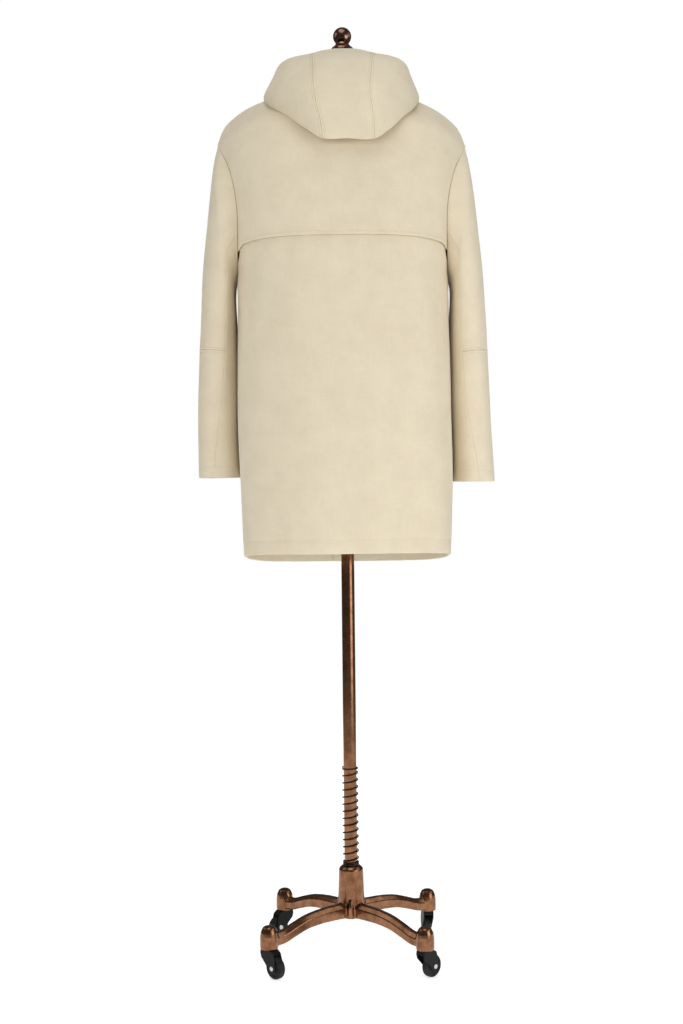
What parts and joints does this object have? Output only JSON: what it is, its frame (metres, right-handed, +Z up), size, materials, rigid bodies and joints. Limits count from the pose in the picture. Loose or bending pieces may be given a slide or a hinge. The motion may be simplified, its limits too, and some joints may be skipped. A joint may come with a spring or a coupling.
{
  "type": "hooded coat on a wheeled dress form stand",
  "caption": "Thick wool coat with a laid-back hood, back storm flap and sleeves, hanging on a limbless dress form with a round pole, arched legs and swivel casters.",
  "frame": {"origin": "on the floor, on the axis of the pole", "axes": "+Z up; the coat's back faces +Y and the wearer's left is +X"},
  "size_m": [0.5442, 0.3464, 1.6895],
  "materials": {
    "cream_wool": "felted wool, matt",
    "cream_facing": "plain weave, matt",
    "cream_horn": "satin",
    "natural_linen": "plain weave over a hard shell",
    "aged_copper": "aged copper plate, satin",
    "dark_bronze": "dark bronze, satin",
    "dark_wire": "darkened spring steel",
    "grey_steel": "brushed",
    "black_plastic": "matt",
    "dark_rubber": "matt"
  },
  "bodies": {
    "stand": {"hub": "aged_copper", "pole": "aged_copper", "pole_collar": "aged_copper", "spring": "dark_wire", "leg_rear_left": "aged_copper", "leg_rear_right": "aged_copper", "leg_front_right": "aged_copper", "leg_front_left": "aged_copper"},
    "rod": {"height_rod": "grey_steel"},
    "form": {"dress_form": "natural_linen", "neck_cap": "dark_bronze", "knob": "aged_copper", "coat_back": "cream_wool", "coat_back_flap": "cream_wool", "coat_front_left": "cream_wool", "coat_front_right": "cream_wool", "coat_facing_left": "cream_facing", "coat_facing_right": "cream_facing", "button_1": "cream_horn", "button_2": "cream_horn", "button_3": "cream_horn", "button_4": "cream_horn", "button_5": "cream_horn", "sleeve_left_upper_outer": "cream_wool", "sleeve_left_lower_outer": "cream_wool", "sleeve_left_under": "cream_wool", "sleeve_right_upper_outer": "cream_wool", "sleeve_right_lower_outer": "cream_wool", "sleeve_right_under": "cream_wool", "hood_gusset": "cream_wool", "hood_left": "cream_wool", "hood_right": "cream_wool"},
    "caster_rear_left": {"fork_rear_left": "black_plastic", "axle_rear_left": "grey_steel"},
    "caster_rear_right": {"fork_rear_right": "black_plastic", "axle_rear_right": "grey_steel"},
    "caster_front_right": {"fork_front_right": "black_plastic", "axle_front_right": "grey_steel"},
    "caster_front_left": {"fork_front_left": "black_plastic", "axle_front_left": "grey_steel"},
    "roller_rear_left": {"wheel_rear_left": "dark_rubber"},
    "roller_rear_right": {"wheel_rear_right": "dark_rubber"},
    "roller_front_right": {"wheel_front_right": "dark_rubber"},
    "roller_front_left": {"wheel_front_left": "dark_rubber"}
  },
  "joints": [
    {"name": "form_height", "type": "slide", "parent": "stand", "child": "rod", "axis": [0, 0, 1], "range_m": [-0.015, 0.2]},
    {"name": "form_turn", "type": "hinge", "parent": "rod", "child": "form", "pos_m": [0, 0, 0.8347], "axis": [0, 0, 1], "continuous": true},
    {"name": "swivel_rear_left", "type": "hinge", "parent": "stand", "child": "caster_rear_left", "pos_m": [0.14506, 0.12699, 0.0497], "axis": [0, 0, 1], "continuous": true},
    {"name": "swivel_rear_right", "type": "hinge", "parent": "stand", "child": "caster_rear_right", "pos_m": [-0.12699, 0.14506, 0.0497], "axis": [0, 0, 1], "continuous": true},
    {"name": "swivel_front_right", "type": "hinge", "parent": "stand", "child": "caster_front_right", "pos_m": [-0.14506, -0.12699, 0.0497], "axis": [0, 0, 1], "continuous": true},
    {"name": "swivel_front_left", "type": "hinge", "parent": "stand", "child": "caster_front_left", "pos_m": [0.12699, -0.14506, 0.0497], "axis": [0, 0, 1], "continuous": true},
    {"name": "roll_rear_left", "type": "hinge", "parent": "caster_rear_left", "child": "roller_rear_left", "pos_m": [0.13375, 0.13831, 0.01975], "axis": [0.7071, 0.7071, 0], "continuous": true},
    {"name": "roll_rear_right", "type": "hinge", "parent": "caster_rear_right", "child": "roller_rear_right", "pos_m": [-0.13831, 0.13375, 0.01975], "axis": [-0.7071, 0.7071, 0], "continuous": true},
    {"name": "roll_front_right", "type": "hinge", "parent": "caster_front_right", "child": "roller_front_right", "pos_m": [-0.14311, -0.14288, 0.01975], "axis": [-0.9925, -0.1219, 0], "continuous": true},
    {"name": "roll_front_left", "type": "hinge", "parent": "caster_front_left", "child": "roller_front_left", "pos_m": [0.1396, -0.13521, 0.01975], "axis": [0.6157, -0.788, 0], "continuous": true}
  ]
}
